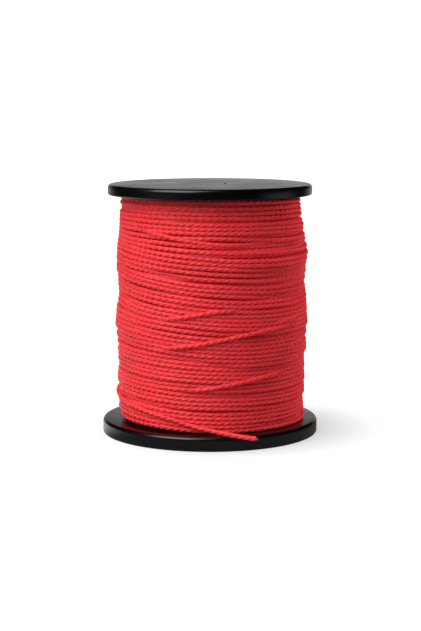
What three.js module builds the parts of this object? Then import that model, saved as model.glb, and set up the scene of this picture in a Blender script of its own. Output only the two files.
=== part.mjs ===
// Spool of beading cord: two moulded plastic flanges with a fat winding of thin twisted cord between
// them, and the cord's loose end lying over the lower rim.
// Millimetres, +Z up. The origin is the middle of the underside, and the loose end points to -Y and +X.
// An azimuth is in degrees, 0 towards -Y and growing towards +X.

import * as THREE from 'three';

// Driving dimensions
const CORD_DIAMETER = 0.8;
const PIECE_GAP = 0.3;
const BOTTOM_RADIUS = 20.6;
const BOTTOM_THICKNESS = 2.7;
const TOP_RADIUS = 19.4;
const TOP_THICKNESS = 2.0;
const SPOOL_HEIGHT = 47.5;
const RIM_CHAMFER = 0.3;
const FLANGE_SEGMENTS = 96;

// The winding: its turns stand as rounded ridges, a little apart, with the layer below in the valleys
const TURN_COUNT = 28;
const TURN_CROWN = 0.5; // share of the pitch that a ridge's flat crown takes
const VALLEY_DEPTH = 0.38;
const WINDING_SEGMENTS = 48;
const SHOULDER_DROP = 0.7; // how far the first and last rows fall back from the barrel
const END_MIDDLE = 1.0; // points nearer the axis than this are the middles of the flat ends

// The barrel at each height: its radius over the ridges, how far its middle leans to +X, and how far
// the turns there tilt down on their low side
const BARREL = [
  { height: 0.0, radius: 17.75, lean: 0.15, tilt: 0.0 },
  { height: 3.0, radius: 17.75, lean: 0.15, tilt: 0.0 },
  { height: 6.5, radius: 17.8, lean: 0.2, tilt: 0.8 },
  { height: 10.0, radius: 17.9, lean: 0.25, tilt: 0.5 },
  { height: 14.0, radius: 18.0, lean: 0.3, tilt: 0.7 },
  { height: 21.5, radius: 18.35, lean: 0.3, tilt: 1.4 },
  { height: 29.0, radius: 18.0, lean: 0.4, tilt: 2.1 },
  { height: 34.5, radius: 18.25, lean: 0.45, tilt: 1.6 },
  { height: 39.5, radius: 17.6, lean: 0.3, tilt: 0.3 },
  { height: 43.0, radius: 17.25, lean: 0.1, tilt: 0.0 },
  { height: 47.5, radius: 17.1, lean: 0.0, tilt: 0.0 },
];
const LOW_SIDE = 40; // azimuth where tilted turns are lowest

// Soft swells and hollows where stray turns pile up or part
const SWELLS = [
  { azimuth: 40, height: 33.8, halfAngle: 60, halfHeight: 3.0, amount: 0.2 },
  { azimuth: -80, height: 26.5, halfAngle: 35, halfHeight: 2.5, amount: -0.25 },
  { azimuth: -60, height: 21.0, halfAngle: 40, halfHeight: 3.0, amount: 0.15 },
  { azimuth: 170, height: 30.0, halfAngle: 50, halfHeight: 4.0, amount: 0.2 },
  { azimuth: 130, height: 12.0, halfAngle: 45, halfHeight: 3.5, amount: -0.2 },
  { azimuth: -140, height: 15.0, halfAngle: 50, halfHeight: 4.0, amount: 0.15 },
];

// The loose end's route, chosen by hand: it lies on the winding, then leaves it along a tangent,
// crosses just over the lower rim and ends in the open
const LOOSE_END_ROUTE = [
  [-17.17, -4.28, 7.5],
  [-16.41, -6.63, 7.2],
  [-15.33, -8.85, 6.9],
  [-13.96, -10.91, 6.6],
  [-12.33, -12.77, 6.28],
  [-10.45, -14.38, 5.92],
  [-8.64, -15.59, 5.54],
  [-6.69, -16.55, 5.12],
  [-5.11, -17.19, 4.74],
  [-4.19, -17.56, 4.5],
  [-2.72, -18.15, 4.16],
  [-1.02, -18.84, 3.87],
  [0.47, -19.44, 3.65],
  [2.03, -20.07, 3.46],
  [3.28, -20.58, 3.32],
  [4.58, -21.1, 3.18],
  [5.8, -21.59, 3.07],
  [7.09, -22.11, 2.98],
  [8.2, -22.55, 2.94],
];
const CORD_SIDES = 8;
const CORD_STEPS = 20;

// The shallow seat that the loose end lies in, between and across the turns
const SEAT_ROOM = 0.38; // the gap under the loose end, with a little more for the flat faces there
const SEAT_HALF_WIDTH = 0.8;
const SEAT_SLOPE = 1.6; // how fast the seat's sides rise to the turns beside it
const SEAT_LEAD = 5.0; // degrees of seat before the loose end's first point

function plastic() {
  return new THREE.MeshStandardMaterial({ color: 0x161718, roughness: 0.35, metalness: 0 });
}

function cordFibre() {
  return new THREE.MeshStandardMaterial({ color: 0xc8323a, roughness: 0.55, metalness: 0 });
}

// A lathe turns about Y, so it is tipped up to turn about Z
function lathe(profile, segments) {
  const points = profile.map((row) => new THREE.Vector2(row.radius, row.height));
  return new THREE.LatheGeometry(points, segments).rotateX(Math.PI / 2);
}

function flange(name, underside, thickness, radius) {
  const top = underside + thickness;
  const profile = [
    { radius: 0, height: underside },
    { radius: radius - RIM_CHAMFER, height: underside },
    { radius, height: underside + RIM_CHAMFER },
    { radius, height: top - RIM_CHAMFER },
    { radius: radius - RIM_CHAMFER, height: top },
    { radius: 0, height: top },
  ];
  const mesh = new THREE.Mesh(lathe(profile, FLANGE_SEGMENTS), plastic());
  mesh.name = name;
  return mesh;
}

// The barrel table's values at a height, eased from row to row
function barrelAt(height) {
  const upper = BARREL.findIndex((row, index) => index > 0 && row.height >= height);
  const below = BARREL[upper - 1];
  const above = BARREL[upper];
  const share = THREE.MathUtils.smoothstep(height, below.height, above.height);
  return {
    radius: THREE.MathUtils.lerp(below.radius, above.radius, share),
    lean: THREE.MathUtils.lerp(below.lean, above.lean, share),
    tilt: THREE.MathUtils.lerp(below.tilt, above.tilt, share),
  };
}

// A bump that is 1 at its middle and falls smoothly to 0 at its reach
function bump(distance, reach) {
  return 1 - THREE.MathUtils.smoothstep(Math.abs(distance), 0, reach);
}

function swellAt(azimuth, height) {
  let swell = 0;
  for (const row of SWELLS) {
    const turned = THREE.MathUtils.euclideanModulo(azimuth - row.azimuth + 180, 360) - 180;
    swell += row.amount * bump(turned, row.halfAngle) * bump(height - row.height, row.halfHeight);
  }
  return swell;
}

function azimuthOf(x, y) {
  return THREE.MathUtils.radToDeg(Math.atan2(x, -y));
}

// Where the loose end's middle is at an azimuth, or null where it isn't there
function looseEndAt(azimuth) {
  const stops = LOOSE_END_ROUTE.map(([x, y, z]) => {
    return { azimuth: azimuthOf(x, y), radius: Math.hypot(x, y), height: z };
  });
  if (azimuth < stops[0].azimuth - SEAT_LEAD || azimuth > stops.at(-1).azimuth) {
    return null;
  }
  const next = Math.max(1, stops.findIndex((stop) => stop.azimuth >= azimuth));
  const before = stops[next - 1];
  const after = stops[next];
  const share = Math.max(0, (azimuth - before.azimuth) / (after.azimuth - before.azimuth));
  return {
    radius: THREE.MathUtils.lerp(before.radius, after.radius, share),
    height: THREE.MathUtils.lerp(before.height, after.height, share),
  };
}

// The largest radius that leaves the loose end its room
function seatLimit(azimuth, height) {
  const rest = looseEndAt(azimuth);
  if (rest === null) {
    return Infinity;
  }
  const aside = Math.max(0, Math.abs(height - rest.height) - SEAT_HALF_WIDTH);
  return rest.radius - CORD_DIAMETER / 2 - SEAT_ROOM + aside * SEAT_SLOPE;
}

// Where a row's point comes to lie once the barrel leans and its turns tilt and swell
function settled(x, y, height) {
  const azimuth = azimuthOf(x, y);
  const radius = Math.hypot(x, y);
  const barrel = barrelAt(height);
  const lowered = barrel.tilt * Math.cos(THREE.MathUtils.degToRad(azimuth - LOW_SIDE));
  const grown = (radius + swellAt(azimuth, height)) / radius;
  const place = new THREE.Vector2(x * grown + barrel.lean, y * grown);
  place.clampLength(0, seatLimit(azimuthOf(place.x, place.y), height - lowered));
  return [place.x, place.y, height - lowered];
}

// Three rows to a turn: the valley below it and the two edges of its crown
function windingProfile(floor, ceiling) {
  const pitch = (ceiling - floor) / TURN_COUNT;
  const crownEdge = (1 - TURN_CROWN) / 2;
  const profile = [{ radius: 0, height: floor }];
  for (let turn = 0; turn < TURN_COUNT; turn += 1) {
    const start = floor + turn * pitch;
    const drop = turn === 0 ? SHOULDER_DROP : VALLEY_DEPTH;
    profile.push({ radius: barrelAt(start).radius - drop, height: start });
    for (const share of [crownEdge, 1 - crownEdge]) {
      const height = start + share * pitch;
      profile.push({ radius: barrelAt(height).radius, height });
    }
  }
  profile.push({ radius: barrelAt(ceiling).radius - SHOULDER_DROP, height: ceiling });
  profile.push({ radius: 0, height: ceiling });
  return profile;
}

function winding() {
  const floor = BOTTOM_THICKNESS + PIECE_GAP;
  const ceiling = SPOOL_HEIGHT - TOP_THICKNESS - PIECE_GAP;
  const geometry = lathe(windingProfile(floor, ceiling), WINDING_SEGMENTS);
  const places = geometry.getAttribute('position');
  for (let i = 0; i < places.count; i += 1) {
    const x = places.getX(i);
    const y = places.getY(i);
    if (Math.hypot(x, y) > END_MIDDLE) {
      places.setXYZ(i, ...settled(x, y, places.getZ(i)));
    }
  }
  geometry.computeVertexNormals();
  const mesh = new THREE.Mesh(geometry, cordFibre());
  mesh.name = 'winding';
  return mesh;
}

function cordSection() {
  const corners = [];
  for (let i = 0; i < CORD_SIDES; i += 1) {
    const angle = ((i + 0.5) * 2 * Math.PI) / CORD_SIDES;
    const reach = CORD_DIAMETER / 2;
    corners.push(new THREE.Vector2(reach * Math.cos(angle), reach * Math.sin(angle)));
  }
  return new THREE.Shape(corners);
}

function looseEnd() {
  const route = new THREE.CatmullRomCurve3(
    LOOSE_END_ROUTE.map((place) => new THREE.Vector3(...place)),
  );
  const options = { steps: CORD_STEPS, extrudePath: route, bevelEnabled: false };
  const mesh = new THREE.Mesh(new THREE.ExtrudeGeometry(cordSection(), options), cordFibre());
  mesh.name = 'loose_end';
  return mesh;
}

const spool = new THREE.Group();
spool.add(flange('bottom_flange', 0, BOTTOM_THICKNESS, BOTTOM_RADIUS));
spool.add(flange('top_flange', SPOOL_HEIGHT - TOP_THICKNESS, TOP_THICKNESS, TOP_RADIUS));
spool.add(winding());
spool.add(looseEnd());

export default spool;
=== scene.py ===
"""Dresses the spool's frame: cord wound turn by turn, moulded flanges, a loose end and a stage.

Everything is in metres. An azimuth is in degrees, 0 towards -Y and growing towards +X.
"""

import math
import random

import bpy
import numpy as np
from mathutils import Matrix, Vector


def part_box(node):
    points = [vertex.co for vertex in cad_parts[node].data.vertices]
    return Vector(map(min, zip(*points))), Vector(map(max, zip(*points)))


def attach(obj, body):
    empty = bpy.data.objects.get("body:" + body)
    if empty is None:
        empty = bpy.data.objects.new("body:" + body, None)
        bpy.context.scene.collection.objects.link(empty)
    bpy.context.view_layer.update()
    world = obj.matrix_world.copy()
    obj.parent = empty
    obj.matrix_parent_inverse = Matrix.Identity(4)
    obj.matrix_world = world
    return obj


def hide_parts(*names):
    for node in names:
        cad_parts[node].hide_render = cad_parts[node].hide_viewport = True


bl_info = {
    "name": "Spool of Beading Cord",
    "version": (1, 0, 0),
    "blender": (4, 5, 0),
    "location": "View3D > Sidebar > Spool",
    "description": "Winds twisted cord on a moulded spool and sets a plain stage for it",
    "category": "Object",
}

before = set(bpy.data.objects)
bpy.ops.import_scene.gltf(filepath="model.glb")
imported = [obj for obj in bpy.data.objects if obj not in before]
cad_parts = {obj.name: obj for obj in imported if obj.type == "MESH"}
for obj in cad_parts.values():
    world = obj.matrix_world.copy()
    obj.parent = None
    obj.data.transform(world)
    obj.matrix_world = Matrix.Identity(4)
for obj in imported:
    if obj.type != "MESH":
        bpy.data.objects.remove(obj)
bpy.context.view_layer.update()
BODY = "root"

# The frame's own sizes
LOWER_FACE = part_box("bottom_flange")[1].z
UPPER_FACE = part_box("top_flange")[0].z
SPOOL_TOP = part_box("top_flange")[1].z
LOWER_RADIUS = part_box("bottom_flange")[1].x
UPPER_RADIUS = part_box("top_flange")[1].x

# The barrel at each height: radius over its turns, how far its middle leans to +X, and how far the
# turns there tilt down on their low side
BARREL = np.array(
    [
        # height, radius, lean, tilt
        (0.0000, 0.01775, 0.00015, 0.0000),
        (0.0030, 0.01775, 0.00015, 0.0000),
        (0.0065, 0.01780, 0.00020, 0.0008),
        (0.0100, 0.01790, 0.00025, 0.0005),
        (0.0140, 0.01800, 0.00030, 0.0007),
        (0.0215, 0.01835, 0.00030, 0.0014),
        (0.0290, 0.01800, 0.00040, 0.0021),
        (0.0345, 0.01825, 0.00045, 0.0016),
        (0.0395, 0.01760, 0.00030, 0.0003),
        (0.0430, 0.01725, 0.00010, 0.0000),
        (0.0475, 0.01710, 0.00000, 0.0000),
    ]
)
HEIGHT, RADIUS, LEAN, TILT = range(4)
LOW_SIDE = 40.0  # azimuth where tilted turns are lowest

# Soft swells and hollows where stray turns pile up or part
SWELLS = [
    # azimuth, height, half angle, half height, amount
    (40, 0.0338, 60, 0.0030, 0.00020),
    (-80, 0.0265, 35, 0.0025, -0.00025),
    (-60, 0.0210, 40, 0.0030, 0.00015),
    (170, 0.0300, 50, 0.0040, 0.00020),
    (130, 0.0120, 45, 0.0035, -0.00020),
    (-140, 0.0150, 50, 0.0040, 0.00015),
]

# The loose end's route: along the winding, off it on a tangent, just over the lower rim and out
LOOSE_ROUTE = [
    (-0.01717, -0.00428, 0.00750),
    (-0.01641, -0.00663, 0.00720),
    (-0.01533, -0.00885, 0.00690),
    (-0.01396, -0.01091, 0.00660),
    (-0.01233, -0.01277, 0.00628),
    (-0.01045, -0.01438, 0.00592),
    (-0.00864, -0.01559, 0.00554),
    (-0.00669, -0.01655, 0.00512),
    (-0.00511, -0.01719, 0.00474),
    (-0.00419, -0.01756, 0.00450),
    (-0.00272, -0.01815, 0.00416),
    (-0.00102, -0.01884, 0.00387),
    (0.00047, -0.01944, 0.00365),
    (0.00203, -0.02007, 0.00346),
    (0.00328, -0.02058, 0.00332),
    (0.00458, -0.02110, 0.00318),
    (0.00580, -0.02159, 0.00307),
    (0.00709, -0.02211, 0.00298),
    (0.00820, -0.02255, 0.00294),
]

# How the last two layers were laid: the height that the cord was fed at, by turns since their start
FEED = [
    # turn, height
    (0.0, 0.0034),
    (42.5, 0.0449),
    (43.0, 0.0449),
    (54.0, 0.0353),
    (62.0, 0.0281),
    (70.0, 0.0208),
    (80.0, 0.0121),
    (90.4, 0.0034),
    (90.6, 0.0038),
    (91.0, 0.0079),
]
TOP_TURN = 43  # where the cord turns back at the top, and the last layer starts
STEPS_PER_TURN = 360
INNER_SPACING = 0.88  # least spacing of turns in the first of the two layers, in cord thicknesses
OUTER_SPACING = 0.835  # and in the last one, where a turn may ride up on its neighbour
CONTACT = 0.84  # spacing at which turns of one layer rest on each other, in cord thicknesses
BEDDED = 0.50  # and at which a turn beds down on the layer under it
RIDE_UP = 0.00032  # the most that a turn stands out over the rest of its layer
LAST_STRETCH = 0.7  # turns over which the cord comes away from its layer towards the loose end
CLIMB = 0.55  # turns at the very end that lie over the others and push none aside
CLIMB_FADE = 0.25  # turns before those over which the pushing fades out
LAYER_DEPTH = 0.00112  # from the barrel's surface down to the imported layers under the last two
INNER_TILT = 0.55  # share of the tilt that the first of the two layers has
WANDER = [
    # waves a turn, reach, phase in waves
    (0.37, 0.00010, 0.10),
    (0.83, 0.00011, 0.45),
    (1.31, 0.00007, 0.72),
    (2.17, 0.00005, 0.25),
    (3.43, 0.00003, 0.90),
]
STIFF_REACH = 3  # steps over which a cord bridges a bump
STIFF_BLUR = 5.0  # steps over which it runs smooth again
PUSHES = 160  # rounds of pushing turns apart
GIVE_WAY = 0.25  # share of what is missing between two turns that each gives way in a round
FLANGE_ROOM = 0.52  # from a flange to the middle of the turn beside it, in cord thicknesses
USUAL_LIE = 0.85  # how far the last layer usually stands over the one before, as a share of BEDDED
JOIN_TURNS = 0.2  # turns over which the cord's height is led to the loose end's
PRESS_LEAD = 5  # steps before the last stretch from which on nothing is pressed in
CORD_STEP = 2.0 * math.pi * 0.0178 / STEPS_PER_TURN  # a step's length on the barrel
LOOSE_STEP = 0.0003  # between the points that show where the loose end presses
SPLINE_STEPS = 24  # between two points of a route
HIDDEN_SECTION = 9  # points round the cord in the layer that hardly shows

# Stray turns that cross over the others
STRAYS = [
    # azimuth, height along each
    [(-42, 0.0176), (-27, 0.0184), (-9, 0.0192), (8, 0.0203), (25, 0.0213),
     (46, 0.0220), (64, 0.0223)],
    [(-40, 0.0230), (-23, 0.0239), (-11, 0.0245), (-1, 0.0253), (11, 0.0255), (28, 0.0252)],
    [(-26, 0.0105), (-6, 0.0109), (8, 0.0117), (20, 0.0124), (40, 0.0133), (62, 0.0142)],
    [(-58, 0.0401), (-34, 0.0391), (-15, 0.0381), (2, 0.0374), (22, 0.0372), (36, 0.0369)],
    [(26, 0.0216), (34, 0.0222), (43, 0.0229), (54, 0.0232), (74, 0.0239)],
    [(120, 0.0300), (190, 0.0283), (260, 0.0262)],
]
STRAY_BEDDED = 0.51  # spacing at which a stray turn rests on the turns under it, in cord thicknesses
STRAY_SINK = 0.0009  # how deep its ends go between them
STRAY_SINK_STEPS = 26  # steps over which they do
LOOSE_SLIM = 0.87  # the loose end pulls thinner than the cord on the spool, to this share
SLIM_BY = 0.4  # share of its length over which it does
LEAST_LEFT = 0.00001  # these two keep a cord with no taper at its full size up to the end
LEAST_TAPER = 0.000001
TIP_TAPER = 0.0016  # the loose end thins out over this length
TIP_SHARE = 0.5  # to this share of its thickness
TIP_LENGTH = 0.0006  # of the longest fibre at the cut
TIP_SHORTEST = 0.35  # the shortest one's share of that
TIP_FIBRES = 26
TIP_FIBRE_RADIUS = 0.00005
TIP_FIBRE_CORNERS = 5
TIP_FIBRE = [
    # share of its length, share of its radius
    (-0.6, 1.0),
    (0.0, 1.0),
    (0.6, 0.8),
    (1.0, 0.3),
]
TIP_SPREAD = 0.40  # how far out the fibres stand, in thicknesses of the tapered cord
TIP_FLARE = 0.5  # and how much further at their ends
TIP_SEED = 4

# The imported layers
PACKED_PITCH = 0.00085
PACKED_ROWS = 4  # rows of points to a ridge
PACKED_SEGMENTS = 120
PACKED_RIDGE = 0.00022
PACKED_GAP = 0.0002  # to the flanges

# The flanges and their moulding mark
FLANGE_SEGMENTS = 256
RIM_STEPS = 6
GATE_SEGMENTS = 24
GATE_ROOT = 0.0003  # how deep the mark is rooted in the flange
GATE_ROUND = 0.00005

# Patterns in the materials
STREAK_STRETCH = 250.0  # scales the length along a cord, where the place round it has radius 1
STREAK_SCALE = 9.0
CLOUD_SCALE = 220.0
SINGED_GRAIN = 4000.0
SINGED_DARK = (0.30, 0.10, 0.07)
SINGED_PALE = (0.42, 0.17, 0.11)
BURIED_GRAIN = 1500.0
SKIN_GRAIN = 6000.0
WEAR_SCALE = 120.0

# The stage
WHITE = (1.0, 1.0, 1.0, 1.0)
BACKDROP = 1.1  # brightness of the backdrop for the eye
FLOOR_HALF = 4.0
FLOOR_GREY = (0.21, 0.21, 0.21, 1.0)
# The floor's own glow leaves a painted shadow close round the spool and rises to white away from it;
# its left side gets painted light.
FLOOR_SHADOW_TO_GLOW = (0.020, 0.042)  # distances over which the floor brightens away from the spool
FLOOR_LIT_SIDE = (-0.03, 0.03)  # from its brighter left to its right
FLOOR_FADE = (0.03, 0.10)  # distances over which its plain look in the plastic fades out
FLOOR_BOUNCE = 0.35  # light that the floor throws up on the cord
ROOM_LIGHT = 0.27  # light that the whole room throws on the cord

# How the floor's painted glow shows in the plastic: a glow starts at a cosine to the direction that
# it comes from
GLOW_FAR = (0.06, 0.20)  # distances over which the near floor ends and the far floor starts
GLOW_SHADED = (0.0, 0.02)  # to the right of the axis, where the spool shades the near floor
GLOW_BEHIND = (0.60, 0.60)  # where the floor's glow behind starts, and its strength
GLOW_NEAR = (-112.0, 0.70, 0.90)  # the lit floor close behind on the left: azimuth, start, strength
GLOW_PATCHES = [
    # azimuth, where it starts, strength
    (-54.0, 0.90, 0.18),
    (82.0, 0.88, 0.45),
]

# Places where neighbouring turns of the last layer part and show the ones under them
PARTINGS = [
    # azimuth, height, half angle, how far each side moves
    (5.8, 0.03814, 34, 0.00022),
    (5.2, 0.02169, 42, 0.00030),
    (13.7, 0.02715, 34, 0.00022),
    (10.3, 0.02450, 26, 0.00016),
    (18.5, 0.02319, 28, 0.00016),
    (-5.9, 0.01869, 24, 0.00018),
    (40.4, 0.03886, 42, 0.00022),
    (26.8, 0.01786, 32, 0.00018),
    (-11.1, 0.01027, 24, 0.00018),
    (4.0, 0.00649, 34, 0.00018),
    (19.1, 0.02015, 24, 0.00018),
    (160.0, 0.03400, 40, 0.00022),
    (215.0, 0.01800, 36, 0.00024),
]
PARTING_REACH = 0.0014  # height over which a parting fades out


def number(name, default, description, **kind):
    """A number among the settings."""
    return bpy.props.FloatProperty(name=name, default=default, description=description, **kind)


def length(name, default, description):
    """A length among the settings."""
    return number(name, default, description, unit="LENGTH")


def count(name, default, description):
    """A whole number among the settings."""
    return bpy.props.IntProperty(name=name, default=default, description=description)


def tone(name, default, description):
    """A colour among the settings."""
    return bpy.props.FloatVectorProperty(
        name=name, default=default, description=description, subtype="COLOR"
    )


class CordSettings(bpy.types.PropertyGroup):
    """Sizes and colours of the cord."""

    thickness: length("Thickness", 0.00092, "Diameter over the plies")
    lay: length("Lay", 0.0039, "Length in which the plies turn once")
    plies: count("Plies", 3, "How many plies are twisted together")
    section_points: count("Section Points", 12, "Points round the cord's section")
    ply_share: number(
        "Ply Share", 0.55, "Ply radius as a share of the cord's radius", subtype="FACTOR"
    )
    colour: tone("Colour", (0.92, 0.054, 0.065), "Dye on the crown of a ply")
    # The groove colour is the dye with painted shade: a deeper red down between the plies, where
    # shade falls.
    groove_shade_colour: tone("Groove Colour", (0.92, 0.030, 0.037), "Dye down between the plies")


class FlangeSettings(bpy.types.PropertyGroup):
    """Sizes and colours of the moulded flanges."""

    rim_round: length("Rim Round", 0.00062, "Radius of the rim's upper edge")
    underside_round: length("Underside Round", 0.0003, "Radius of the rim's lower edge")
    gate_radius: length("Gate Mark", 0.00021, "Radius of the moulding mark")
    gate_height: length("Gate Height", 0.00012, "How far the moulding mark stands out")
    gate_aside: length("Gate Aside", 0.0029, "Moulding mark to the right of the axis")
    colour: tone("Colour", (0.0018, 0.0018, 0.0019), "Plastic colour")


class StageSettings(bpy.types.PropertyGroup):
    """Camera and light."""

    camera_distance: length("Camera Distance", 0.3127, "Camera to the spool's axis")
    camera_height: length("Camera Height", 0.0660, "Camera above the floor")
    camera_aside: length("Camera Aside", 0.00011, "Camera to the right of the axis")
    camera_pitch: number(
        "Camera Pitch", 0.1392, "How far the camera looks down", subtype="ANGLE"
    )
    lens: number("Lens", 93.85, "Focal length in millimetres")
    key_power: number("Key Light", 4.1, "Power of the soft light on the left, in watts")
    left_power: number("Left Side", 0.35, "Power of the low light on the left, in watts")
    right_power: number(
        "Right Back", 1.8, "Power of the low light behind on the right, in watts"
    )


def fill(tree, node, inputs):
    """Fills a node's inputs with values or linked sockets."""
    for socket, value in inputs.items():
        if isinstance(value, bpy.types.NodeSocket):
            tree.links.new(value, node.inputs[socket])
        else:
            node.inputs[socket].default_value = value


def add_node(tree, kind, inputs=None, **settings):
    """Adds a node, sets its own settings and fills its inputs."""
    node = tree.nodes.new(kind)
    for name, value in settings.items():
        setattr(node, name, value)
    fill(tree, node, inputs or {})
    return node


def output_of(tree, kind, inputs=None, **settings):
    """Adds a node and returns its first output."""
    return add_node(tree, kind, inputs, **settings).outputs[0]


def add_math(tree, operation, *values):
    """Adds a math node and returns its output."""
    return output_of(tree, "ShaderNodeMath", dict(enumerate(values)), operation=operation)


def add_vector_math(tree, operation, inputs, output=0):
    """Adds a vector math node and returns one of its outputs."""
    return add_node(tree, "ShaderNodeVectorMath", inputs, operation=operation).outputs[output]


def add_range(tree, value, start, end, low=0.0, high=1.0, smooth=False):
    """Leads a value from low at the start to high at the end, and returns the output."""
    return output_of(
        tree, "ShaderNodeMapRange",
        {"Value": value, "From Min": start, "From Max": end, "To Min": low, "To Max": high},
        interpolation_type="SMOOTHSTEP" if smooth else "LINEAR",
    )


def scaled(tree, vector, amount):
    """Scales a vector or a colour and returns the output."""
    return add_vector_math(tree, "SCALE", {0: vector, "Scale": amount})


def split_up(tree, vector):
    """The outputs X, Y and Z of a vector."""
    return add_node(tree, "ShaderNodeSeparateXYZ", {"Vector": vector}).outputs


def ease(share):
    """Goes smoothly from 0 to 1."""
    share = np.clip(share, 0.0, 1.0)
    return share * share * (3.0 - 2.0 * share)


def barrel_at(heights, column):
    """One of the barrel table's columns at any heights, eased from row to row."""
    rows = np.clip(np.searchsorted(BARREL[:, HEIGHT], heights) - 1, 0, len(BARREL) - 2)
    below, above = BARREL[rows, HEIGHT], BARREL[rows + 1, HEIGHT]
    share = ease((heights - below) / (above - below))
    return BARREL[rows, column] * (1.0 - share) + BARREL[rows + 1, column] * share


def swell_at(azimuths, heights):
    """How far the barrel swells or sinks at a place."""
    swell = np.zeros(np.broadcast(azimuths, heights).shape)
    for azimuth, height, half_angle, half_height, amount in SWELLS:
        away = np.abs((azimuths - azimuth + 180.0) % 360.0 - 180.0)
        across = 1.0 - ease(away / half_angle)
        upward = 1.0 - ease(np.abs(heights - height) / half_height)
        swell += amount * across * upward
    return swell


def azimuth_of(x, y):
    """The azimuth of a place, in degrees."""
    return np.degrees(np.arctan2(x, -y))


def places(azimuths, radii, heights):
    """Points in the frame from azimuth, radius and height about the leaning barrel."""
    angles = np.radians(azimuths)
    aside = barrel_at(heights, LEAN)
    return np.stack([radii * np.sin(angles) + aside, -radii * np.cos(angles), heights], axis=-1)


def about_barrel(points):
    """Azimuths, heights and radii of points about the leaning barrel."""
    x, y, heights = np.asarray(points, float).T
    x = x - barrel_at(heights, LEAN)
    return azimuth_of(x, y), heights, np.hypot(x, y)


def smooth_line(points, spacing):
    """A smooth curve through the points, resampled evenly."""
    points = np.asarray(points, float)
    ends = [2 * points[0] - points[1], *points, 2 * points[-1] - points[-2]]
    fine = []
    for a, b, c, d in zip(ends, ends[1:], ends[2:], ends[3:]):
        for t in np.linspace(0.0, 1.0, SPLINE_STEPS, endpoint=False):
            fine.append(
                0.5 * (2 * b + (c - a) * t + (2 * a - 5 * b + 4 * c - d) * t**2
                       + (3 * b - a - 3 * c + d) * t**3)
            )
    fine = np.array([*fine, points[-1]])
    run = np.concatenate([[0.0], np.cumsum(np.linalg.norm(np.diff(fine, axis=0), axis=1))])
    stops = np.linspace(0.0, run[-1], max(2, round(run[-1] / spacing) + 1))
    return np.stack([np.interp(stops, run, fine[:, i]) for i in range(3)], axis=-1)


def line_length(points):
    """Length of a line of points."""
    return float(np.linalg.norm(np.diff(points, axis=0), axis=1).sum())


def softened(values):
    """A line of values with its corners rounded off."""
    reach = int(3 * STIFF_BLUR)
    weights = np.exp(-0.5 * (np.arange(-reach, reach + 1) / STIFF_BLUR) ** 2)
    return np.convolve(np.pad(values, reach, mode="edge"), weights / weights.sum(), mode="valid")


def stiffen(radii):
    """A cord bridges small bumps: it keeps to the highest radius nearby, then runs smooth."""
    padded = np.pad(radii, STIFF_REACH, mode="edge")
    windows = np.lib.stride_tricks.sliding_window_view(padded, 2 * STIFF_REACH + 1)
    return softened(windows.max(axis=1))


def keep_apart(heights, least, descending):
    """Pushes neighbouring turns of a layer apart where they are closer than the least spacing."""
    sign = 1.0 if descending else -1.0
    share = np.full(len(heights) - STEPS_PER_TURN, GIVE_WAY)
    if descending:
        left = np.arange(len(share))[::-1] / STEPS_PER_TURN
        share *= ease((left - CLIMB) / CLIMB_FADE)
    for _ in range(PUSHES):
        gaps = sign * (heights[:-STEPS_PER_TURN] - heights[STEPS_PER_TURN:])
        push = np.maximum(0.0, least - gaps) * share
        heights[:-STEPS_PER_TURN] += sign * push
        heights[STEPS_PER_TURN:] -= sign * push
    return heights


def parted(azimuths, heights):
    """Turns above a parting move up there, and turns below it move down."""
    for azimuth, height, half_angle, amount in PARTINGS:
        half = round(half_angle * STEPS_PER_TURN / 360.0)
        window = 1.0 - ease(np.abs(np.arange(-half, half + 1)) / half)
        first = round((azimuth - azimuths[0]) % 360.0 * STEPS_PER_TURN / 360.0)
        for step in range(first, len(heights) - half, STEPS_PER_TURN):
            apart = heights[step] - height
            if step >= half:
                push = math.copysign(amount, apart) * math.exp(-abs(apart) / PARTING_REACH)
                heights[step - half: step + half + 1] += push * window
    return heights


def laid_heights(thickness, first_azimuth):
    """Azimuths and heights of the last two layers' cord, step by step."""
    turns = np.arange(int(FEED[-1][0]) * STEPS_PER_TURN + 1) / STEPS_PER_TURN
    heights = np.interp(turns, *zip(*FEED))
    for waves, reach, phase in WANDER:
        heights += reach * np.sin(2.0 * np.pi * (waves * turns + phase))
    azimuths = first_azimuth + 360.0 * turns
    top = TOP_TURN * STEPS_PER_TURN
    share = np.where(turns < TOP_TURN, INNER_TILT, 1.0)
    drop = barrel_at(heights, TILT) * share * np.cos(np.radians(azimuths - LOW_SIDE))
    heights = heights - drop
    inner, outer = INNER_SPACING * thickness, OUTER_SPACING * thickness
    heights[:top] = keep_apart(heights[:top], inner, False)
    heights[top:] = parted(azimuths[top:], heights[top:])
    heights[top:] = keep_apart(heights[top:], outer, True)
    room = FLANGE_ROOM * thickness
    return azimuths, np.clip(heights, LOWER_FACE + room, UPPER_FACE - room)


def lift_over(apart, rest):
    """How far a cord stands over another whose middle is this far aside."""
    return np.sqrt(np.maximum(0.0, rest**2 - apart**2))


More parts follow.
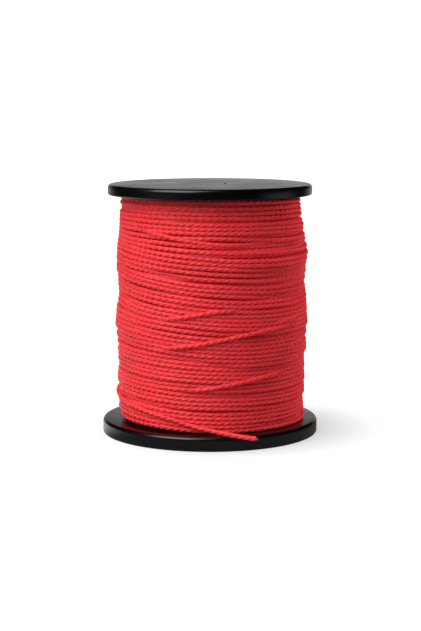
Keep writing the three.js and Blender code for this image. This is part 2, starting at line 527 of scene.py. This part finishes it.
def laid_radii(azimuths, heights, thickness):
    """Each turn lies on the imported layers, or on whatever earlier turns it meets there."""
    ground = barrel_at(heights, RADIUS) - LAYER_DEPTH + swell_at(azimuths, heights)
    ground = ground + 0.5 * BEDDED * thickness
    radii = ground.copy()
    for start in range(0, len(heights) - 1, STEPS_PER_TURN):
        span = slice(start, start + STEPS_PER_TURN)
        raised = ground[span].copy()
        for earlier in range(start - STEPS_PER_TURN, -1, -STEPS_PER_TURN):
            own_layer = (earlier < TOP_TURN * STEPS_PER_TURN) == (start < TOP_TURN * STEPS_PER_TURN)
            rest = thickness * (CONTACT if own_layer else BEDDED)
            under = slice(earlier, earlier + STEPS_PER_TURN)
            apart = np.abs(heights[span] - heights[under])
            stacked = radii[under] + lift_over(apart, rest)
            raised = np.where(apart < rest, np.maximum(raised, stacked), raised)
        radii[span] = raised
    radii[-1] = radii[-2]
    usual = ground + BEDDED * thickness * USUAL_LIE
    usual[: TOP_TURN * STEPS_PER_TURN] = ground[: TOP_TURN * STEPS_PER_TURN]
    excess = np.maximum(0.0, radii - usual)
    return stiffen(np.minimum(radii, usual) + RIDE_UP * np.tanh(excess / RIDE_UP))


def join_to_loose_end(azimuths, heights, radii):
    """Leads the last stretch of the winding into the loose end's start."""
    route = about_barrel(LOOSE_ROUTE[:2])
    climb = (route[1][1] - route[1][0]) / (route[0][1] - route[0][0])
    for turns, line, end in (
        (JOIN_TURNS, heights, route[1][0] + climb * (azimuths - azimuths[-1])),
        (LAST_STRETCH, radii, np.full(len(radii), route[2][0])),
    ):
        steps = round(turns * STEPS_PER_TURN)
        share = ease(np.linspace(0.0, 1.0, steps + 1))
        line[-steps - 1:] += share * (end[-steps - 1:] - line[-steps - 1:])
    return heights, radii


def pressed_in(azimuths, heights, radii, over_azimuths, over_heights, over_radii, rest):
    """How deep each step of the winding is pressed in by a cord that lies across it."""
    depth = np.zeros(len(radii))
    order = np.argsort(over_azimuths)
    stops, over_heights, over_radii = over_azimuths[order], over_heights[order], over_radii[order]
    for lap in range(-1, int(FEED[-1][0]) + 2):
        own = azimuths - 360.0 * lap
        apart = np.abs(heights - np.interp(own, stops, over_heights))
        limit = np.interp(own, stops, over_radii) - lift_over(apart, rest)
        crossed = (own > stops[0]) & (own < stops[-1]) & (apart < rest)
        depth = np.where(crossed, np.maximum(depth, radii - limit), depth)
    return depth


def press_under_last_cord(azimuths, heights, radii, thickness):
    """Turns that the last stretch and the loose end lie across are pressed in under them."""
    rest = CONTACT * thickness
    loose = about_barrel(smooth_line(LOOSE_ROUTE, LOOSE_STEP))
    steps = round(LAST_STRETCH * STEPS_PER_TURN)
    last = azimuths[-steps:] - azimuths[-1] + loose[0][0], heights[-steps:], radii[-steps:]
    depth = np.maximum(
        pressed_in(azimuths, heights, radii, *loose, rest),
        pressed_in(azimuths, heights, radii, *last, rest),
    )
    depth[-steps - PRESS_LEAD:] = 0.0
    pressed = radii - stiffen(depth)
    pressed[-steps:] = radii[-steps:]
    return pressed


def add_object(name, data):
    """An object in the scene that shows the data."""
    obj = bpy.data.objects.new(name, data)
    bpy.context.scene.collection.objects.link(obj)
    return obj


def curve_object(name, points):
    """A curve of one open line through the points."""
    curve = bpy.data.curves.new(name, "CURVE")
    curve.dimensions = "3D"
    line = curve.splines.new("POLY")
    line.points.add(len(points) - 1)
    line.points.foreach_set("co", np.column_stack([points, np.ones(len(points))]).ravel())
    return add_object(name, curve)


def ply_reach(tree, factor, plies, share):
    """The section's radius over the cord's radius, where each ply is a circle pressed on the next."""
    spot = add_math(tree, "FRACT", add_math(tree, "MULTIPLY", factor, plies))
    centred = add_math(tree, "SUBTRACT", spot, 0.5)
    sector = add_math(tree, "DIVIDE", 2.0 * math.pi, plies)
    angle = add_math(tree, "MULTIPLY", centred, sector)
    middle = add_math(tree, "SUBTRACT", 1.0, share)
    forward = add_math(tree, "MULTIPLY", middle, add_math(tree, "COSINE", angle))
    sideways = add_math(tree, "MULTIPLY", middle, add_math(tree, "SINE", angle))
    rest = add_math(
        tree, "SUBTRACT",
        add_math(tree, "POWER", share, 2.0),
        add_math(tree, "MULTIPLY", sideways, sideways),
    )
    return add_math(tree, "ADD", forward, add_math(tree, "SQRT", rest))


def stored(tree, geometry, name, value, kind="FLOAT"):
    """Stores an attribute on a geometry and returns the geometry."""
    return output_of(
        tree, "GeometryNodeStoreNamedAttribute",
        {"Geometry": geometry, "Name": name, "Value": value}, data_type=kind,
    )


def so_far(tree, measure):
    """How far along its line a point is, as a Length or as a Factor of the whole."""
    return add_node(tree, "GeometryNodeSplineParameter").outputs[measure]


def cord_section(tree, given):
    """The plies' outline, with what its material reads stored on it."""
    radius = add_math(tree, "MULTIPLY", given["Thickness"], 0.5)
    circle = output_of(
        tree, "GeometryNodeCurvePrimitiveCircle",
        {"Resolution": given["Section Points"], "Radius": radius},
    )
    place = output_of(tree, "GeometryNodeInputPosition")
    around = add_vector_math(tree, "NORMALIZE", {0: place})
    reach = ply_reach(tree, so_far(tree, "Factor"), given["Plies"], given["Ply Share"])
    marked = stored(tree, circle, "around", around, "FLOAT_VECTOR")
    marked = stored(tree, marked, "ply_height", reach)
    return output_of(
        tree, "GeometryNodeSetPosition",
        {"Geometry": marked, "Position": scaled(tree, place, reach)},
    )


def twisted_line(tree, given):
    """The line with its twist, and with its thickness where it tapers or is pulled thin."""
    run = add_math(tree, "ADD", so_far(tree, "Length"), given["Start Length"])
    turns = add_math(tree, "DIVIDE", run, given["Lay"])
    turn = add_math(tree, "MULTIPLY", turns, -2.0 * math.pi)
    line = output_of(tree, "GeometryNodeSetCurveNormal", {"Curve": given["Line"]}, mode="Z_UP")
    line = output_of(tree, "GeometryNodeSetCurveTilt", {"Curve": line, "Tilt": turn})
    line = stored(tree, line, "along", run)
    whole = output_of(tree, "GeometryNodeSplineLength")
    left = add_math(tree, "SUBTRACT", whole, so_far(tree, "Length"))
    left = add_math(tree, "ADD", left, LEAST_LEFT)
    taper = add_math(tree, "ADD", given["Taper"], LEAST_TAPER)
    worn = add_range(tree, left, 0.0, taper, low=TIP_SHARE, smooth=True)
    pulled = add_range(
        tree, so_far(tree, "Factor"), 0.0, SLIM_BY, low=1.0, high=given["Slim"], smooth=True
    )
    size = add_math(tree, "MULTIPLY", worn, pulled)
    return output_of(tree, "GeometryNodeSetCurveRadius", {"Curve": line, "Radius": size})


def twisted_cord_tree(cord):
    """Geometry Nodes that sweep a section of twisted plies along a curve."""
    tree = bpy.data.node_groups.new("Twisted cord", "GeometryNodeTree")
    for name, kind, default in (
        ("Line", "NodeSocketGeometry", None),
        ("Thickness", "NodeSocketFloat", cord.thickness),
        ("Lay", "NodeSocketFloat", cord.lay),
        ("Plies", "NodeSocketInt", cord.plies),
        ("Ply Share", "NodeSocketFloat", cord.ply_share),
        ("Section Points", "NodeSocketInt", cord.section_points),
        ("Start Length", "NodeSocketFloat", 0.0),
        ("Taper", "NodeSocketFloat", 0.0),
        ("Slim", "NodeSocketFloat", 1.0),
        ("Material", "NodeSocketMaterial", None),
    ):
        socket = tree.interface.new_socket(name=name, in_out="INPUT", socket_type=kind)
        if default is not None:
            socket.default_value = default
    tree.interface.new_socket(name="Cord", in_out="OUTPUT", socket_type="NodeSocketGeometry")
    given = add_node(tree, "NodeGroupInput").outputs
    swept = output_of(
        tree, "GeometryNodeCurveToMesh",
        {"Curve": twisted_line(tree, given), "Profile Curve": cord_section(tree, given),
         "Fill Caps": True},
    )
    smooth = output_of(tree, "GeometryNodeSetShadeSmooth", {"Geometry": swept})
    real = output_of(tree, "GeometryNodeRealizeInstances", {"Geometry": smooth})
    dressed = output_of(
        tree, "GeometryNodeSetMaterial", {"Geometry": real, "Material": given["Material"]}
    )
    add_node(tree, "NodeGroupOutput", {"Cord": dressed})
    return tree


def twisted_cord(name, points, material, start_length=0.0, section_points=None, taper=0.0, slim=1.0):
    """A plain mesh of twisted cord along the points."""
    cord = bpy.context.scene.spool_cord
    tree = bpy.data.node_groups.get("Twisted cord") or twisted_cord_tree(cord)
    line = curve_object(name + "_line", points)
    modifier = line.modifiers.new("Twist", "NODES")
    modifier.node_group = tree
    inputs = {
        item.name: item.identifier
        for item in tree.interface.items_tree
        if item.item_type == "SOCKET" and item.in_out == "INPUT"
    }
    modifier[inputs["Thickness"]] = cord.thickness
    modifier[inputs["Start Length"]] = start_length
    modifier[inputs["Taper"]] = taper
    modifier[inputs["Slim"]] = slim
    modifier[inputs["Section Points"]] = section_points or cord.section_points
    modifier[inputs["Material"]] = material
    seen = line.evaluated_get(bpy.context.evaluated_depsgraph_get())
    mesh = bpy.data.meshes.new_from_object(seen)
    mesh.name = name
    line.modifiers.remove(modifier)
    bpy.data.objects.remove(line)
    return add_object(name, mesh)


def new_material(name):
    """An empty node material with its shader; returns the material, its tree and the shader."""
    material = bpy.data.materials.new(name)
    material.use_nodes = True
    tree = material.node_tree
    return material, tree, tree.nodes["Principled BSDF"]


def own_place(tree):
    """The place on the piece, in metres."""
    return add_node(tree, "ShaderNodeTexCoord").outputs["Object"]


def stored_value(tree, name, kind="Fac"):
    """An attribute that the piece carries."""
    return add_node(tree, "ShaderNodeAttribute", attribute_name=name).outputs[kind]


def add_noise(tree, place, scale, detail=2.0, roughness=0.5):
    """Adds a noise pattern and returns its output."""
    inputs = {"Vector": place, "Scale": scale, "Detail": detail, "Roughness": roughness}
    return add_node(tree, "ShaderNodeTexNoise", inputs).outputs["Fac"]


def add_bump(tree, height, strength, distance):
    """Adds fine relief and returns its output."""
    inputs = {"Height": height, "Strength": strength, "Distance": distance}
    return output_of(tree, "ShaderNodeBump", inputs)


def add_blend(tree, share, first, second):
    """Blends two colours and returns the output."""
    inputs = {"Factor": share, 6: (*first, 1.0), 7: (*second, 1.0)}
    return add_node(tree, "ShaderNodeMix", inputs, data_type="RGBA").outputs[2]


def cord_material(name="Twisted fibre"):
    """Dyed fibre with painted shade: a deeper red between the plies, streaked along them, with a soft
    sheen.
    """
    made = bpy.data.materials.get(name)
    if made is not None:
        return made
    cord = bpy.context.scene.spool_cord
    material, tree, shader = new_material(name)
    around = split_up(tree, stored_value(tree, "around", "Vector"))
    run = add_math(tree, "MULTIPLY", stored_value(tree, "along"), STREAK_STRETCH)
    place = output_of(
        tree, "ShaderNodeCombineXYZ", {"X": run, "Y": around["X"], "Z": around["Y"]}
    )
    streaks = add_noise(tree, place, STREAK_SCALE, detail=3.0, roughness=0.6)
    clouds = add_noise(tree, own_place(tree), CLOUD_SCALE)
    # Painted shade: the colour turns to the deeper groove red towards the valleys between the plies.
    crown = add_range(tree, stored_value(tree, "ply_height"), 0.55, 0.92)
    dye_and_shade = add_blend(tree, crown, cord.groove_shade_colour, cord.colour)
    shade = add_range(
        tree, add_math(tree, "ADD", streaks, clouds), 0.7, 1.3, low=0.88, high=1.1
    )
    fill(tree, shader, {
        "Base Color": scaled(tree, dye_and_shade, shade),
        "Roughness": add_range(tree, streaks, 0.3, 0.7, low=0.32, high=0.44),
        "Normal": add_bump(tree, streaks, strength=0.4, distance=0.00006),
        "Sheen Weight": 0.03,
        "Sheen Roughness": 0.4,
        "Sheen Tint": (1.0, 0.35, 0.35, 1.0),
        "Specular IOR Level": 0.32,
        "Specular Tint": (1.0, 0.85, 0.88, 1.0),
        "Subsurface Weight": 0.6,
        "Subsurface Radius": (1.0, 0.12, 0.12),
        "Subsurface Scale": 0.0004,
    })
    return material


def singed_material():
    """Fibre ends that the cutter's heat has browned."""
    material, tree, shader = new_material("Singed fibre")
    grain = add_noise(tree, own_place(tree), SINGED_GRAIN)
    fill(tree, shader, {
        "Base Color": add_blend(tree, grain, SINGED_DARK, SINGED_PALE),
        "Roughness": 0.55,
    })
    return material


def buried_material():
    """Packed turns that hardly any light reaches, coloured with the groove red and its painted shade.
    """
    material, tree, shader = new_material("Buried fibre")
    grain = add_noise(tree, own_place(tree), BURIED_GRAIN)
    depth = add_range(tree, grain, 0.3, 0.7, low=0.75, high=1.05)
    # The groove colour with its painted shade, with a random grain over it.
    dye_and_shade = tuple(bpy.context.scene.spool_cord.groove_shade_colour)
    fill(tree, shader, {"Base Color": scaled(tree, dye_and_shade, depth), "Roughness": 0.8})
    return material


def plastic_material(name="Moulded plastic"):
    """Black moulded plastic with a fine satin skin and faint wear."""
    made = bpy.data.materials.get(name)
    if made is not None:
        return made
    material, tree, shader = new_material(name)
    place = own_place(tree)
    skin = add_noise(tree, place, SKIN_GRAIN, roughness=0.6)
    wear = add_noise(tree, place, WEAR_SCALE, detail=4.0)
    tint = add_range(tree, wear, 0.3, 0.7, low=0.85, high=1.2)
    colour = tuple(bpy.context.scene.spool_flange.colour)
    fill(tree, shader, {
        "Base Color": scaled(tree, colour, tint),
        "Roughness": add_range(tree, wear, 0.3, 0.7, low=0.20, high=0.28),
        "Normal": add_bump(tree, skin, strength=0.08, distance=0.00002),
    })
    return material


def mesh_piece(name, verts, faces, material, smooth=True):
    """A mesh object at the origin."""
    mesh = bpy.data.meshes.new(name)
    mesh.from_pydata([tuple(v) for v in verts], [], faces)
    mesh.polygons.foreach_set("use_smooth", [smooth] * len(mesh.polygons))
    mesh.materials.append(material)
    mesh.update()
    return add_object(name, mesh)


def ringed_body(name, rings, foot, crown, material):
    """A closed smooth body of rings of points, with a middle point under and over them."""
    segments = len(rings[0])
    verts = [foot, *(point for ring in rings for point in ring), crown]
    last = len(verts) - 1
    top = 1 + (len(rings) - 1) * segments
    faces = []
    for i in range(segments):
        j = (i + 1) % segments
        faces.append((0, 1 + j, 1 + i))
        faces.append((last, top + i, top + j))
        for low in range(1, top, segments):
            high = low + segments
            faces.append((low + i, low + j, high + j, high + i))
    return mesh_piece(name, verts, faces, material)


def turned(name, profile, segments, material, aside=0.0):
    """A closed body of revolution, moved to +X, whose profile starts and ends on its axis."""
    angles = np.arange(segments) * 2.0 * np.pi / segments
    rings = [
        [(radius * math.cos(angle) + aside, radius * math.sin(angle), height) for angle in angles]
        for radius, height in profile[1:-1]
    ]
    foot = (aside, 0.0, profile[0][1])
    crown = (aside, 0.0, profile[-1][1])
    return ringed_body(name, rings, foot, crown, material)


def rounded_rim(radius, underside, top, low_fillet, fillet):
    """A disc's profile with both edges of its rim rounded."""
    angles = np.linspace(0.0, math.pi / 2, RIM_STEPS + 1)
    lower = [
        (radius - low_fillet * (1.0 - math.sin(angle)),
         underside + low_fillet * (1.0 - math.cos(angle)))
        for angle in angles
    ]
    upper = [
        (radius - fillet * (1.0 - math.cos(angle)), top - fillet * (1.0 - math.sin(angle)))
        for angle in angles
    ]
    half = radius * 0.5
    return [(0.0, underside), (half, underside), *lower, *upper, (half, top), (0.0, top)]


def packed_layers(material):
    """The closely packed layers under the last two, as one ridged barrel."""
    low = LOWER_FACE + PACKED_GAP
    high = UPPER_FACE - PACKED_GAP
    steps = int((high - low) / PACKED_PITCH) * PACKED_ROWS
    azimuths = np.arange(PACKED_SEGMENTS) * 360.0 / PACKED_SEGMENTS
    rings = []
    for height in np.linspace(low, high, steps + 1):
        ridge = PACKED_RIDGE * abs(math.sin(math.pi * (height - low) / PACKED_PITCH))
        ground = barrel_at(height, RADIUS) - LAYER_DEPTH + swell_at(azimuths, height)
        rings.append(
            places(azimuths, ground - PACKED_RIDGE + ridge, np.full(PACKED_SEGMENTS, height))
        )
    return ringed_body("packed_layers", rings, (0.0, 0.0, low), (0.0, 0.0, high), material)


def stray_turn(row, azimuths, heights, radii, thickness):
    """One turn that crosses over the others and sinks between them at both ends."""
    rest = STRAY_BEDDED * thickness
    stops, levels = np.array(row).T
    first = round((stops[0] - azimuths[0]) * STEPS_PER_TURN / 360.0)
    last = round((stops[-1] - azimuths[0]) * STEPS_PER_TURN / 360.0)
    steps = np.arange(first, last + 1)
    own_azimuths = azimuths[0] + steps * 360.0 / STEPS_PER_TURN
    own = softened(np.interp(own_azimuths, stops, levels))
    raised = np.zeros(len(steps))
    for turn in range(len(heights) // STEPS_PER_TURN):
        under = turn * STEPS_PER_TURN + steps % STEPS_PER_TURN
        apart = np.abs(own - heights[under])
        stacked = radii[under] + lift_over(apart, rest)
        raised = np.where(apart < rest, np.maximum(raised, stacked), raised)
    radius = stiffen(raised)
    from_ends = np.minimum(steps - first, last - steps) / STRAY_SINK_STEPS
    radius -= STRAY_SINK * (1.0 - ease(from_ends))
    return places(own_azimuths, radius, own)


def frayed_tip(points, thickness):
    """The cut end: a bundle of short singed fibres that spread a little."""
    pick = random.Random(TIP_SEED)
    end = points[-1]
    forward = points[-1] - points[-4]
    forward = forward / np.linalg.norm(forward)
    aside = np.cross(forward, (0.0, 0.0, 1.0))
    aside = aside / np.linalg.norm(aside)
    above = np.cross(aside, forward)
    corners = TIP_FIBRE_CORNERS
    verts, faces = [], []
    for _ in range(TIP_FIBRES):
        angle = pick.uniform(0.0, 2.0 * math.pi)
        out = math.sqrt(pick.uniform(0.0, 1.0))
        spoke = math.cos(angle) * aside + math.sin(angle) * above
        reach = pick.uniform(TIP_SHORTEST, 1.0) * TIP_LENGTH
        first = len(verts)
        for step, (share, radius) in enumerate(TIP_FIBRE):
            flare = 1.0 + TIP_FLARE * max(0.0, share) ** 2
            spread = TIP_SHARE * TIP_SPREAD * thickness * out * flare
            middle = end + forward * reach * share + spoke * spread
            for corner in range(corners):
                turn = 2.0 * math.pi * corner / corners
                side = math.cos(turn) * aside + math.sin(turn) * above
                verts.append(middle + side * TIP_FIBRE_RADIUS * radius)
            high = first + step * corners
            low = high - corners
            for corner in range(corners if step else 0):
                ahead = (corner + 1) % corners
                faces.append((low + corner, high + corner, high + ahead, low + ahead))
        faces.append(tuple(range(first, first + corners)))
        faces.append(tuple(range(high + corners - 1, high - 1, -1)))
    return mesh_piece("frayed_tip", verts, faces, singed_material())


def winding_line():
    """Azimuths, heights and radii of the last two layers."""
    thickness = bpy.context.scene.spool_cord.thickness
    azimuths, heights = laid_heights(thickness, about_barrel(LOOSE_ROUTE[:1])[0][0])
    radii = laid_radii(azimuths, heights, thickness)
    heights, radii = join_to_loose_end(azimuths, heights, radii)
    radii = press_under_last_cord(azimuths, heights, radii, thickness)
    return azimuths, heights, radii


def ride_on_spool(piece, slot, *nodes):
    """Every piece rides on the spool's one body."""
    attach(piece, BODY)
    if nodes:
        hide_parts(*nodes)


class SPOOL_OT_camera(bpy.types.Operator):
    """Places the camera at the picture's angle"""

    bl_idname = "spool.camera"
    bl_label = "Place Camera"

    def execute(self, context):
        stage = context.scene.spool_stage
        data = bpy.data.cameras.new("Camera")
        data.lens = stage.lens
        data.clip_start = 0.01
        camera = add_object("Camera", data)
        camera.location = (stage.camera_aside, -stage.camera_distance, stage.camera_height)
        camera.rotation_euler = (math.pi / 2 - stage.camera_pitch, 0.0, 0.0)
        context.scene.camera = camera
        return {"FINISHED"}


class SPOOL_OT_loose_end(bpy.types.Operator):
    """Makes the cord's loose end"""

    bl_idname = "spool.loose_end"
    bl_label = "Make Loose End"

    def execute(self, context):
        cord = context.scene.spool_cord
        points = smooth_line(LOOSE_ROUTE, CORD_STEP)
        piece = twisted_cord(
            "loose_cord", points, cord_material(), taper=TIP_TAPER, slim=LOOSE_SLIM
        )
        ride_on_spool(piece, "loose_cord", "loose_end")
        ride_on_spool(frayed_tip(points, cord.thickness * LOOSE_SLIM), "loose_cord")
        return {"FINISHED"}


class SPOOL_OT_winding(bpy.types.Operator):
    """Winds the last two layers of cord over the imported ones"""

    bl_idname = "spool.winding"
    bl_label = "Wind Cord"

    def execute(self, context):
        thickness = context.scene.spool_cord.thickness
        azimuths, heights, radii = winding_line()
        points = places(azimuths, radii, heights)
        rows = [
            # name, first turn, last turn, section points
            ("inner_turns_low", 0, 21, HIDDEN_SECTION),
            ("inner_turns_high", 21, TOP_TURN, HIDDEN_SECTION),
            ("outer_turns_high", TOP_TURN, 59, None),
            ("outer_turns_middle", 59, 75, None),
            ("outer_turns_low", 75, int(FEED[-1][0]), None),
        ]
        run = -line_length(points)
        for name, start, end, section_points in rows:
            stretch = points[start * STEPS_PER_TURN: end * STEPS_PER_TURN + 1]
            piece = twisted_cord(name, stretch, cord_material(), run, section_points)
            run += line_length(stretch)
            ride_on_spool(piece, "wound_cord", "winding")
        for place, row in enumerate(STRAYS, start=1):
            line = stray_turn(row, azimuths, heights, radii, thickness)
            piece = twisted_cord(f"stray_turn_{place}", line, cord_material())
            ride_on_spool(piece, "wound_cord", "winding")
        ride_on_spool(packed_layers(buried_material()), "wound_cord", "winding")
        return {"FINISHED"}


class SPOOL_OT_flanges(bpy.types.Operator):
    """Moulds the two flanges"""

    bl_idname = "spool.flanges"
    bl_label = "Mould Flanges"

    def execute(self, context):
        gate = context.scene.spool_flange
        rows = [
            # name, radius, underside, top, node
            ("lower_flange", LOWER_RADIUS, 0.0, LOWER_FACE, "bottom_flange"),
            ("upper_flange", UPPER_RADIUS, UPPER_FACE, SPOOL_TOP, "top_flange"),
        ]
        for name, radius, underside, top, node in rows:
            profile = rounded_rim(radius, underside, top, gate.underside_round, gate.rim_round)
            piece = turned(name, profile, FLANGE_SEGMENTS, plastic_material())
            ride_on_spool(piece, "flange_plastic", node)
        foot = SPOOL_TOP - GATE_ROOT
        crown = SPOOL_TOP + gate.gate_height
        nub = rounded_rim(gate.gate_radius, foot, crown, GATE_ROUND, GATE_ROUND)
        piece = turned("gate_mark", nub, GATE_SEGMENTS, plastic_material(), gate.gate_aside)
        ride_on_spool(piece, "flange_plastic")
        return {"FINISHED"}


def soft_light(name, place, target, width, height, power):
    """A soft light panel that looks at a target."""
    data = bpy.data.lights.new(name, "AREA")
    data.shape = "RECTANGLE"
    data.size = width
    data.size_y = height
    data.energy = power
    lamp = add_object(name, data)
    lamp.location = place
    away = np.array(target) - np.array(place)
    flat = math.hypot(away[0], away[1])
    lamp.rotation_euler = (
        math.atan2(flat, -away[2]), 0.0, math.atan2(away[1], away[0]) - math.pi / 2
    )
    return lamp


def by_ray(tree, ray, shader, other):
    """One shader for the rays of a kind, and the other for the rest."""
    return output_of(tree, "ShaderNodeMixShader", {0: ray, 1: other, 2: shader})


def studio_world():
    """White all round for the eye; for the light, a dark studio with a low pale wall behind."""
    world = bpy.data.worlds.new("Studio")
    bpy.context.scene.world = world
    world.use_nodes = True
    tree = world.node_tree
    tree.nodes.clear()
    facing = split_up(tree, add_node(tree, "ShaderNodeTexCoord").outputs["Generated"])
    depth = add_range(tree, facing["Y"], 0.84, 0.97, low=0.01, high=0.60, smooth=True)
    below = add_range(tree, facing["Z"], 0.19, 0.30, low=1.0, high=0.0, smooth=True)
    wall = add_math(tree, "MULTIPLY", depth, below)
    path = add_node(tree, "ShaderNodeLightPath").outputs
    room = add_math(tree, "MULTIPLY", path["Is Diffuse Ray"], ROOM_LIGHT)
    light = output_of(
        tree, "ShaderNodeBackground",
        {"Color": WHITE, "Strength": add_math(tree, "ADD", wall, room)},
    )
    seen = output_of(tree, "ShaderNodeBackground", {"Color": WHITE, "Strength": BACKDROP})
    both = by_ray(tree, path["Is Camera Ray"], seen, light)
    add_node(tree, "ShaderNodeOutputWorld", {"Surface": both})


def floor_lobe(tree, unit, azimuth, start, strength):
    """How much of the floor's glow comes from one direction."""
    angle = math.radians(azimuth)
    direction = (math.sin(angle), -math.cos(angle), 0.0)
    facing = add_vector_math(tree, "DOT_PRODUCT", {0: unit, 1: direction}, "Value")
    return add_range(tree, facing, start, 1.0, high=strength, smooth=True)


def floor_glow(tree, spot, reach):
    """A painted reflection: the glow of the floor that the black plastic mirrors, white behind, and
    patches at the sides.
    """
    unit = add_vector_math(tree, "NORMALIZE", {0: spot})
    far = add_range(tree, reach, *GLOW_FAR)
    shaded = add_range(tree, split_up(tree, spot)["X"], *GLOW_SHADED, low=1.0, high=0.06)
    behind = add_math(
        tree, "MULTIPLY", floor_lobe(tree, unit, 180.0, *GLOW_BEHIND),
        add_math(tree, "MAXIMUM", far, shaded),
    )
    patches = add_math(
        tree, "ADD", *(floor_lobe(tree, unit, *patch) for patch in GLOW_PATCHES)
    )
    near = add_math(
        tree, "MULTIPLY", floor_lobe(tree, unit, *GLOW_NEAR), add_math(tree, "SUBTRACT", 1.0, far)
    )
    beside = add_math(tree, "ADD", near, add_math(tree, "MULTIPLY", patches, far))
    return add_math(tree, "ADD", behind, beside)


def floor_material():
    """A pale floor: its own glow for the eye, with painted shadow near the spool and painted light on
    the left; a painted glow where the plastic mirrors it, else an even bounce.
    """
    material, tree, shader = new_material("Pale floor")
    spot = own_place(tree)
    reach = add_vector_math(tree, "LENGTH", {0: spot}, "Value")
    # Painted shadow round the spool under the floor's glow, and painted light on its left side.
    shadow_to_glow = add_range(tree, reach, *FLOOR_SHADOW_TO_GLOW, low=0.48, high=1.10)
    lit_side = add_range(tree, split_up(tree, spot)["X"], *FLOOR_LIT_SIDE, low=0.34, high=0.0)
    fill(tree, shader, {
        "Base Color": FLOOR_GREY,
        "Roughness": 1.0,
        "Specular IOR Level": 0.0,
        "Emission Color": WHITE,
        "Emission Strength": add_math(tree, "ADD", shadow_to_glow, lit_side),
    })
    # Painted reflection: the floor that the plastic mirrors darkens away from the spool, and glows in
    # given places.
    fade = add_range(tree, reach, *FLOOR_FADE, low=0.22, high=0.01, smooth=True)
    plain = output_of(tree, "ShaderNodeBsdfDiffuse", {"Color": fade})
    glow = output_of(tree, "ShaderNodeEmission", {"Strength": floor_glow(tree, spot, reach)})
    mirrored = output_of(tree, "ShaderNodeAddShader", {0: plain, 1: glow})
    bounce = output_of(tree, "ShaderNodeEmission", {"Strength": FLOOR_BOUNCE})
    path = add_node(tree, "ShaderNodeLightPath").outputs
    unseen = by_ray(tree, path["Is Glossy Ray"], mirrored, bounce)
    both = by_ray(tree, path["Is Camera Ray"], shader.outputs[0], unseen)
    fill(tree, tree.nodes["Material Output"], {"Surface": both})
    return material


class SPOOL_OT_stage(bpy.types.Operator):
    """Sets the floor and the lights"""

    bl_idname = "spool.stage"
    bl_label = "Set Stage"

    def execute(self, context):
        stage = context.scene.spool_stage
        half = FLOOR_HALF
        corners = [(-half, -half, 0.0), (half, -half, 0.0), (half, half, 0.0), (-half, half, 0.0)]
        floor = mesh_piece("floor", corners, [(0, 1, 2, 3)], floor_material(), smooth=False)
        middle = (0.0, 0.0, SPOOL_TOP / 2)
        lamps = [
            # name, place, width, height, power, whether the plastic mirrors it
            ("Key", (-0.30, -0.29, 0.46), 0.50, 0.62, stage.key_power, True),
            ("Left Side", (-0.50, 0.03, 0.12), 0.30, 0.24, stage.left_power, False),
            ("Right Back", (0.40, 0.26, 0.14), 0.30, 0.24, stage.right_power, False),
        ]
        for name, place, width, height, power, mirrored in lamps:
            lamp = soft_light(name, place, middle, width, height, power)
            lamp.visible_glossy = mirrored
        studio_world()
        context.scene.view_settings.view_transform = "Standard"
        return {"FINISHED"}


class SPOOL_PT_panel(bpy.types.Panel):
    """Lists the spool's steps"""

    bl_idname = "SPOOL_PT_panel"
    bl_label = "Spool of Cord"
    bl_space_type = "VIEW_3D"
    bl_region_type = "UI"
    bl_category = "Spool"

    def draw(self, context):
        for name, group in GROUPS.items():
            settings = getattr(context.scene, name)
            for setting in group.__annotations__:
                self.layout.prop(settings, setting)
        for step in STEPS:
            self.layout.operator(step.bl_idname)


STEPS = (
    SPOOL_OT_camera,
    SPOOL_OT_loose_end,
    SPOOL_OT_winding,
    SPOOL_OT_flanges,
    SPOOL_OT_stage,
)
GROUPS = {
    "spool_cord": CordSettings,
    "spool_flange": FlangeSettings,
    "spool_stage": StageSettings,
}


def register():
    """Registers the settings, the steps and the panel."""
    for name, group in GROUPS.items():
        bpy.utils.register_class(group)
        setattr(bpy.types.Scene, name, bpy.props.PointerProperty(type=group))
    for step in (*STEPS, SPOOL_PT_panel):
        bpy.utils.register_class(step)


def unregister():
    """Takes everything back out."""
    for step in (SPOOL_PT_panel, *reversed(STEPS)):
        bpy.utils.unregister_class(step)
    for name, group in GROUPS.items():
        delattr(bpy.types.Scene, name)
        bpy.utils.unregister_class(group)


def main():
    """Makes the spool step by step."""
    register()
    bpy.ops.spool.camera()
    bpy.ops.spool.loose_end()
    bpy.ops.spool.winding()
    bpy.ops.spool.flanges()
    bpy.ops.spool.stage()


if __name__ == "__main__":
    main()
